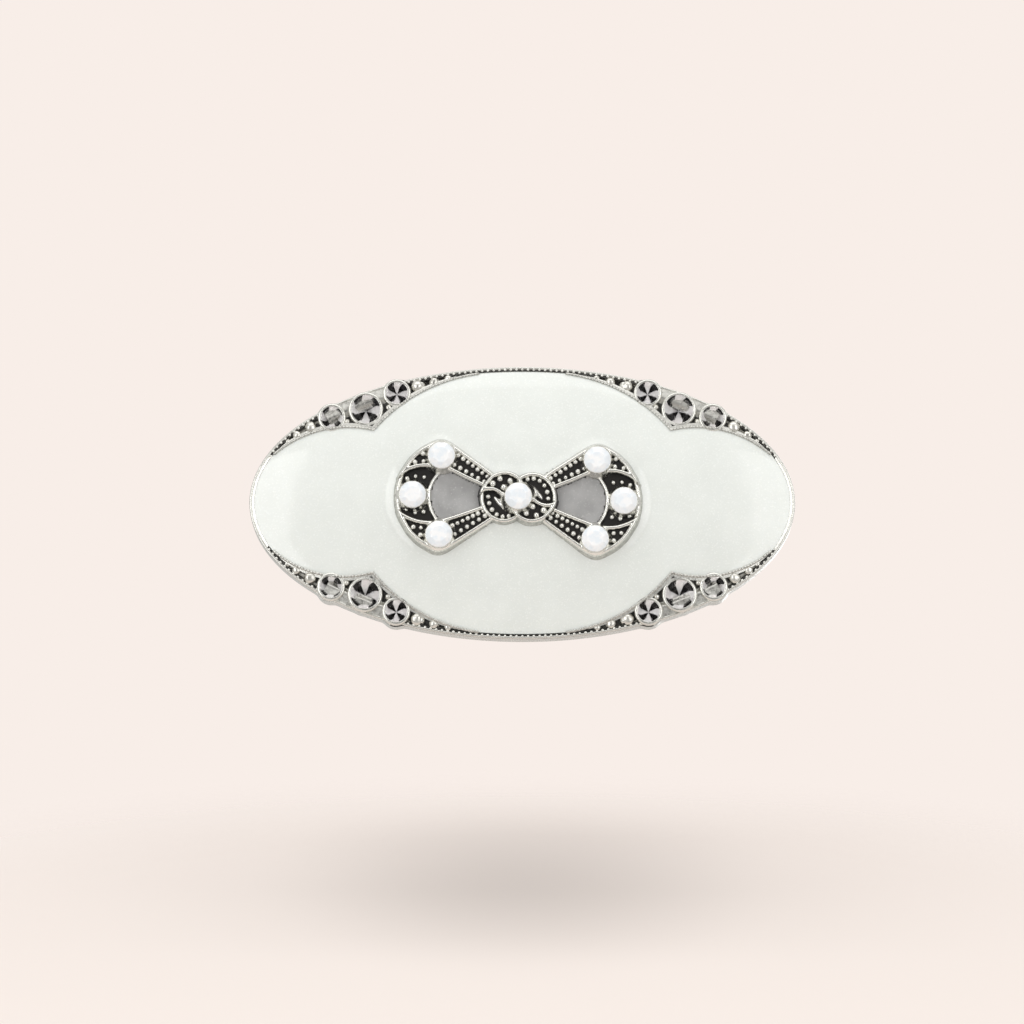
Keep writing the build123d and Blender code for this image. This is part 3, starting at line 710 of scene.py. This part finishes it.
for side, hand in ((1, "right"), (-1, "left")):
    verts, faces, _ = relief((2.2, -3.2), (9.6, 3.4), 0.16, lambda p: depth_in(p, window) > 0.06, [],
                             window_height, lambda p: np.full(len(p), INLAY_BACK))
    verts[:, 0] *= side
    verts[:, [0, 2]] = bow_to_face(verts[:, [0, 2]])
    inlay = add_piece("grey_inlay_" + hand, verts, faces, grey_enamel)
    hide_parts("loop_enamel_" + hand)

# %% [markdown]
# ### The field itself
# The same relief helper makes the enamel: the dome's height, less a shallow sink at the wires,
# plus the fillet that creeps up the bow's wall.

# %% Enamel field
def field_height(points):
    in_bow = face_to_bow(points)
    folded = np.column_stack((np.abs(in_bow[:, 0]), in_bow[:, 1]))
    to_bow = np.minimum(-depth_in(folded, loop_edge), -knot_side(in_bow))
    creep = 0.2 * np.clip(1 - to_bow / 1.2, 0, 1) ** 1.5
    creep[to_bow < 0] = -0.4
    to_edge = nearest(points, field_edge, closed=True)[0]
    return dome(*points.T) + creep - 0.07 * np.exp(-to_edge / 0.5)


verts, faces, _ = relief((-28.1, -14.0), (28.1, 14.0), 0.2, lambda p: within(p, field_edge),
                         [(field_edge, "edge")], field_height, lambda p: dome(*p.T) - 0.6)
field = add_piece("pearl_enamel_field", verts, faces, pearl_enamel, sharp=60)
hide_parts("enamel_field")

# %% [markdown]
# ## Wires, beads and settings of the rim
# A fine beaded wire stands round each corner panel. A rail runs all round the rim, with milgrain, a
# row of tiny rolled beads, inside it. The milgrain stops at the oval's two ends and where the
# stones' skirts reach the edge.

# %% Border wires
def tube(path, radius, beading, pitch, sides=10):
    """A closed-ended tube on the dome along a line, with a beaded thickness. Path is x, z."""
    path = np.asarray(path)
    runs = np.hypot(*np.diff(path, axis=0).T)
    length = np.concatenate(((0,), np.cumsum(runs)))
    stops = np.arange(0, length[-1], pitch / 5)
    x, z = (np.interp(stops, length, path[:, k]) for k in (0, 1))
    ahead = np.column_stack((np.gradient(x), np.gradient(z)))
    ahead /= np.hypot(*ahead.T)[:, None]
    size = radius * (1 + beading * np.cos(2 * math.pi * stops / pitch))
    size[0] = size[-1] = radius * 0.3
    verts, faces = [], []
    for i in range(len(stops)):
        for s in range(sides):
            around = 2 * math.pi * s / sides
            out, lift = size[i] * math.cos(around), size[i] * math.sin(around)
            px, pz = x[i] + out * ahead[i, 1], z[i] - out * ahead[i, 0]
            verts.append((px, dome(px, pz) + 0.02 + lift, pz))
    for i in range(len(stops) - 1):
        for s in range(sides):
            a, b = i * sides + s, i * sides + (s + 1) % sides
            faces.append((a, b, b + sides, a + sides))
    faces.append(tuple(range(sides)))
    faces.append(tuple(range(len(verts) - sides, len(verts)))[::-1])
    return verts, faces


for name, mirror in MIRRORS.items():
    verts, faces = tube(panel_wire * mirror, 0.13, 0.12, 0.34)
    add_piece("border_wire_" + name, verts, faces, satin_silver, sharp=80)

# %% [markdown]
# The crystals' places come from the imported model. The skirts of metal round them reach the
# outline between the two small stones, and the milgrain stops there.

# %% Crystal places
crystals = {}
for name in nodes:
    if name.startswith("crystal_"):
        low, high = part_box(name)
        crystals[name] = (np.array(((low.x + high.x) / 2, (low.z + high.z) / 2)) / MM,
                          (high.x - low.x) / MM / 2, -low.y / MM)


def oval_angle(point):
    return math.atan2(point[1] / HALF_WIDTH, point[0] / HALF_LENGTH)


inner_angle = oval_angle(crystals["crystal_inner_upper_right"][0])
outer_angle = oval_angle(crystals["crystal_outer_upper_right"][0])
print("stones between", math.degrees(outer_angle), "and", math.degrees(inner_angle))

# %% Rail and milgrain round the rim
MILGRAIN_PITCH = 0.6
rim_angles = np.linspace(0, 2 * math.pi, 2401)


def edge_line(inset):
    return np.array([on_oval(a, inset) for a in rim_angles])


def ring_tube(line, radius, lift, sides=10):
    """A closed round wire that lies on the dome along a closed line."""
    line = line[:-1:3]
    ahead = np.roll(line, -1, axis=0) - np.roll(line, 1, axis=0)
    ahead /= np.hypot(*ahead.T)[:, None]
    verts, faces = [], []
    for (x, z), way in zip(line, ahead):
        for s in range(sides):
            around = 2 * math.pi * s / sides
            out = radius * math.cos(around)
            verts.append((x + out * way[1], dome(x, z) + lift + radius * math.sin(around), z - out * way[0]))
    n = len(line)
    for i in range(n):
        for s in range(sides):
            a, b = i * sides + s, i * sides + (s + 1) % sides
            c, d = (i + 1) % n * sides + s, (i + 1) % n * sides + (s + 1) % sides
            faces.append((a, b, d, c))
    return verts, faces


verts, faces = ring_tube(edge_line(0.14), 0.135, 0.0)
add_piece("rim_rail", verts, faces, bright_silver, sharp=80)
rim_points = edge_line(0.27)
rim_length = np.concatenate(((0,), np.cumsum(np.hypot(*np.diff(rim_points, axis=0).T))))
count = round(rim_length[-1] / MILGRAIN_PITCH)
spots = []
for stop in np.arange(count) * rim_length[-1] / count:
    angle = np.interp(stop, rim_length, rim_angles)
    x, z = on_oval(angle, 0.27)
    first = oval_angle((abs(x), abs(z)))
    if first > math.radians(20) and not outer_angle - 0.02 < first < inner_angle + 0.02:
        spots.append((x, dome(x, z) + 0.02, z, random.uniform(0.15, 0.18)))
verts, faces = bead_mesh(spots, 2, 0.8)
add_piece("rim_milgrain", verts, faces, bright_silver)

# %% [markdown]
# Between the two small stones the casting rises from the rail to the bezels in a smooth skirt. It
# is a relief too: level with the dome at the outline, and falling to the sunk floor inside.

# %% Skirts between the stones
def skirt_height(points):
    inset = inset_of(*points.T)
    return dome(*points.T) + 0.03 - 0.5 * np.clip((inset - 1.25) / 0.55, 0, 1) ** 1.5


for name, mirror in MIRRORS.items():
    turns = np.linspace(outer_angle + 0.02, inner_angle - 0.02, 40)
    outer = np.array([on_oval(a, 0.12) for a in turns])
    inner = np.array([on_oval(a, 1.8) for a in turns])
    shape = np.vstack((outer, inner[::-1]))
    verts, faces, _ = relief((6, 5), (27, 14.4), 0.16, lambda p: within(p, shape), [(shape, "edge")],
                             skirt_height, lambda p: dome(*p.T) - 0.7)
    verts[:, [0, 2]] *= mirror
    add_piece("skirt_" + name, verts, faces, satin_silver)

# %% [markdown]
# Granules are small balls of metal, hammered a little out of round. Three at each end of a corner
# panel shrink towards its tip, and two smaller ones fill the gaps inside the stones.

# %% Granules
GRANULES = [(66.9, 0.95, 0.66), (70.8, 0.82, 0.51), (74.0, 0.7, 0.39), (37.4, 0.93, 0.64), (32.5, 0.76, 0.47),
            (28.9, 0.62, 0.3), (47.4, 2.3, 0.3), (59.0, 2.43, 0.3)]
for name, mirror in MIRRORS.items():
    spots = []
    for angle, inset, radius in GRANULES:
        x, z = on_oval(math.radians(angle), inset) * mirror
        spots.append((x, dome(x, z) - 0.25, z, radius * random.uniform(1.0, 1.07)))
    verts, faces = bead_mesh(spots, 4, 0.8, rough=0.12)
    add_piece("granules_" + name, verts, faces, granule_silver)

# %% [markdown]
# ### Bezels and collets
# Each crystal sits in a plain cup whose lip is burnished over the edge of the stone. The opal
# stones sit in lower collets. Both are turned shapes: a closed profile swept round the axis.

# %% Turned rings
def turned(middle, height, profile, sides=64):
    """A ring round an axis through the face, from a closed profile of radius and height."""
    verts, faces = [], []
    n = len(profile)
    for s in range(sides):
        c, v = math.cos(2 * math.pi * s / sides), math.sin(2 * math.pi * s / sides)
        verts.extend((middle[0] + r * c, height + h, middle[1] + r * v) for r, h in profile)
    for s in range(sides):
        a, b = s * n, (s + 1) % sides * n
        faces.extend((a + i, a + (i + 1) % n, b + (i + 1) % n, b + i) for i in range(n))
    return verts, faces


for name, (middle, radius, front) in crystals.items():
    lip = front - crown_height(radius)
    profile = [(radius + 0.04, -0.7), (radius + 0.30, -0.7), (radius + 0.29, -0.2), (radius + 0.26, -0.06),
               (radius + 0.2, 0.01), (radius + 0.12, 0.04), (radius + 0.03, 0.05), (radius - 0.03, 0.045),
               (radius - 0.05, 0.02), (radius - 0.02, -0.02)]
    verts, faces = turned(middle, lip, profile)
    add_piece("bezel_" + name, verts, faces, bright_silver, sharp=60)

for (name, (middle, _)), lip in zip(opal_places.items(), opal_lips):
    profile = [(1.36, -0.5), (1.47, -0.5), (1.46, -0.14), (1.44, -0.05), (1.41, 0.0), (1.38, 0.015),
               (1.345, 0.015), (1.34, -0.03)]
    verts, faces = turned(middle, lip, profile, 56)
    add_piece("collet_" + name, verts, faces, bright_silver, sharp=60)

# %% [markdown]
# ## Finishes of the imported pieces
# The casting's own faces are sorted by where they lie: the sunk panels and the band under the
# milgrain keep their oxide, the hollow back has the plain cast skin, and the rest is rubbed. The
# stones' faces are sorted by which way they face: crown and table are glass, and round the
# pavilion painted bright and painted dark foil take turns, which paints the spokes of reflected light.

# %% Sort the casting's faces
body = nodes["body_casting"]
body.data.materials.clear()
for finish in (bright_silver, black_oxide, cast_back):
    body.data.materials.append(finish)
tally = [0, 0, 0]
for face in body.data.polygons:
    x, y, z = (v / MM for v in face.center)
    deep = dome(x, z) + y
    inset = inset_of(x, z)
    first = oval_angle((abs(x), abs(z)))
    by_stones = outer_angle - 0.03 < first < inner_angle + 0.03
    kind = 0
    if face.normal.y > 0.05 or -y < 1.9 and inset > 0.6:
        kind = 2
    elif deep > 0.3 and inset > 0.45 and face.normal.y < -0.7:
        kind = 1
    elif inset < 0.6 and first > math.radians(20) and not by_stones and face.normal.y < -0.5:
        kind = 1
    face.material_index = kind
    tally[kind] += 1
print("casting faces rubbed, oxide, back:", tally)

# %% Stones and finding
def repaint(name, finishes, sort=None):
    piece = nodes[name]
    piece.data.materials.clear()
    for finish in finishes:
        piece.data.materials.append(finish)
    for face in piece.data.polygons:
        face.material_index = sort(face) if sort else 0


def spoke(face):
    """0 on the crown, then 1 and 2, painted bright and painted dark foil, by turns round the pavilion:
    painted spokes of reflected light.
    """
    if face.normal.y < 0.2:
        return 0
    if face.normal.y > 0.95:
        return 1
    # Painted light: facets round the pavilion take the bright or the dark foil by turns.
    around = math.degrees(math.atan2(face.normal.z, face.normal.x)) / 22.5
    return 1 if round(around + 0.2) % 4 in (0, 3) else 2


for name in crystals:
    repaint(name, (crystal_crown, painted_bright_spoke_foil, painted_dark_spoke_foil), spoke)
for name in opal_places:
    repaint(name, (opal_milk,))
for name in ("pin_bar", "bar_rivet_left", "bar_rivet_right", "hinge_rivet", "catch_roller"):
    repaint(name, (strip_steel,))
repaint("pin_stem", (pin_steel,))
print("repainted", len(crystals), "crystals,", len(opal_places), "opal stones and the finding")

# %% [markdown]
# ## Stage, light and camera
# A pale floor lies below the brooch and fades into a pale surround, with a painted shadow under
# the brooch. Soft boxes stand above and at both sides, and they show as soft bright patches on the
# enamel's edges. A weaker one behind shows the pin finding. The camera has a
# long lens and looks from a little below.

# %% Surround
pale = colour("f8eee8")
world = bpy.data.worlds.new("pale_surround")
scene.world = world
world.use_nodes = True
tree = world.node_tree
tree.nodes.clear()
seen = node(tree, "Background", {"Color": pale, "Strength": 1.0})
facing = node(tree, "TexCoord").outputs["Generated"]
axes = node(tree, "SeparateXYZ", {0: facing})
rise = node(tree, "MapRange", {"Value": axes.outputs["Z"], "From Min": -0.6, "From Max": 0.8,
                               "To Min": 0.6, "To Max": 0.7}, interpolation_type="SMOOTHSTEP")
front = node(tree, "MapRange", {"Value": axes.outputs["Y"], "From Min": -1.0, "From Max": -0.85,
                                "To Min": 0.4, "To Max": 1.0}, interpolation_type="SMOOTHSTEP")
level = node(tree, "Math", {0: rise.outputs[0], 1: front.outputs[0]}, operation="MULTIPLY")
lighting = node(tree, "Background", {"Color": colour("fbfaf8"), "Strength": level.outputs[0]})
direct = node(tree, "LightPath")
surround = node(tree, "MixShader", {0: direct.outputs["Is Camera Ray"], 1: lighting.outputs[0],
                                   2: seen.outputs[0]})
node(tree, "OutputWorld", {"Surface": surround.outputs[0]})

# %% Soft boxes
def soft_box(name, azimuth, elevation, distance, size, power):
    """A rectangular light that looks at the brooch. Azimuth 0 is in front, 90 on the wearer's left."""
    light = bpy.data.lights.new(name, "AREA")
    light.shape = "RECTANGLE"
    light.size, light.size_y = size
    light.energy = power
    lamp = bpy.data.objects.new(name, light)
    a, e = math.radians(azimuth), math.radians(elevation)
    way = Vector((math.sin(a) * math.cos(e), -math.cos(a) * math.cos(e), math.sin(e)))
    lamp.location = way * distance
    lamp.rotation_euler = way.to_track_quat("Z", "Y").to_euler()
    lamp.visible_camera = False
    scene.collection.objects.link(lamp)


soft_box("box_above", 0, 63.5, 0.5, (0.6, 0.36), 0.8)
soft_box("box_left", -34.5, 4, 0.5, (0.24, 0.4), 0.64)
soft_box("box_right", 34.5, 4, 0.5, (0.24, 0.4), 0.52)
soft_box("box_behind", 163, 12, 0.5, (0.3, 0.24), 0.4)
print("soft boxes:", [light.name for light in bpy.data.lights])

# %% [markdown]
# The floor is a fine grid, tilted a little towards the camera. Its paint fades out at the edge, and
# carries a painted shadow: it is darker in the middle, which deepens the soft shadow of the brooch.

# %% Floor
FLOOR_DROP = 48.0
bpy.ops.mesh.primitive_grid_add(x_subdivisions=24, y_subdivisions=24, size=1)
floor = bpy.context.object
floor.name = "pale_floor"
floor.scale = (0.2, 0.14, 1)
floor.rotation_euler = (math.radians(24), 0, 0)
floor.location = (0, 0, -FLOOR_DROP * MM)
made, tree, place = new_finish("pale_floor_with_painted_shadow")
spot = node(tree, "VectorMath", {0: place, 1: (2.0, 2.0, 0.0)}, operation="MULTIPLY")
away = node(tree, "VectorMath", {0: spot.outputs[0]}, operation="LENGTH")
fade = node(tree, "MapRange", {"Value": away.outputs["Value"], "From Min": 0.6, "From Max": 0.97,
                               "To Min": 1.0, "To Max": 0.0}, interpolation_type="SMOOTHSTEP")
# Painted shadow: the paint is darker in an oval spot under the brooch, down to about four fifths.
shade = node(tree, "VectorMath", {0: place, 1: (4.0, 2.2, 0.0), 2: (0.0, -0.48, 0.0)},
             operation="MULTIPLY_ADD")
near = node(tree, "VectorMath", {0: shade.outputs[0]}, operation="LENGTH")
dim = node(tree, "MapRange", {"Value": near.outputs["Value"], "From Min": 0.0, "From Max": 0.62,
                              "To Min": 0.79, "To Max": 0.96}, interpolation_type="SMOOTHSTEP")
painted_shadow_tone = node(tree, "VectorMath", {0: pale[:3], "Scale": dim.outputs[0]}, operation="SCALE")
matt = node(tree, "BsdfDiffuse", {"Color": painted_shadow_tone.outputs[0]})
clear = node(tree, "BsdfTransparent")
cover = node(tree, "MixShader", {0: fade.outputs[0], 1: clear.outputs[0], 2: matt.outputs[0]})
node(tree, "OutputMaterial", {"Surface": cover.outputs[0]})
floor.data.materials.append(made)

# %% Camera
CAMERA_DROP = math.radians(9.6)
VIEW_WIDTH = 106.9
camera_data = bpy.data.cameras.new("camera")
camera_data.lens = 200
camera_data.sensor_width = 36
camera = bpy.data.objects.new("camera", camera_data)
target = Vector((-1.075, -2.2, -1.0)) * MM
back_away = VIEW_WIDTH * MM * camera_data.lens / camera_data.sensor_width
way = Vector((0, -math.cos(CAMERA_DROP), -math.sin(CAMERA_DROP)))
camera.location = target + way * back_away
camera.rotation_euler = way.to_track_quat("Z", "Y").to_euler()
camera_data.clip_start, camera_data.clip_end = 0.01, 10
scene.collection.objects.link(camera)
scene.camera = camera
scene.view_settings.view_transform = "Standard"
print("camera", round(back_away, 3), "m from the brooch")
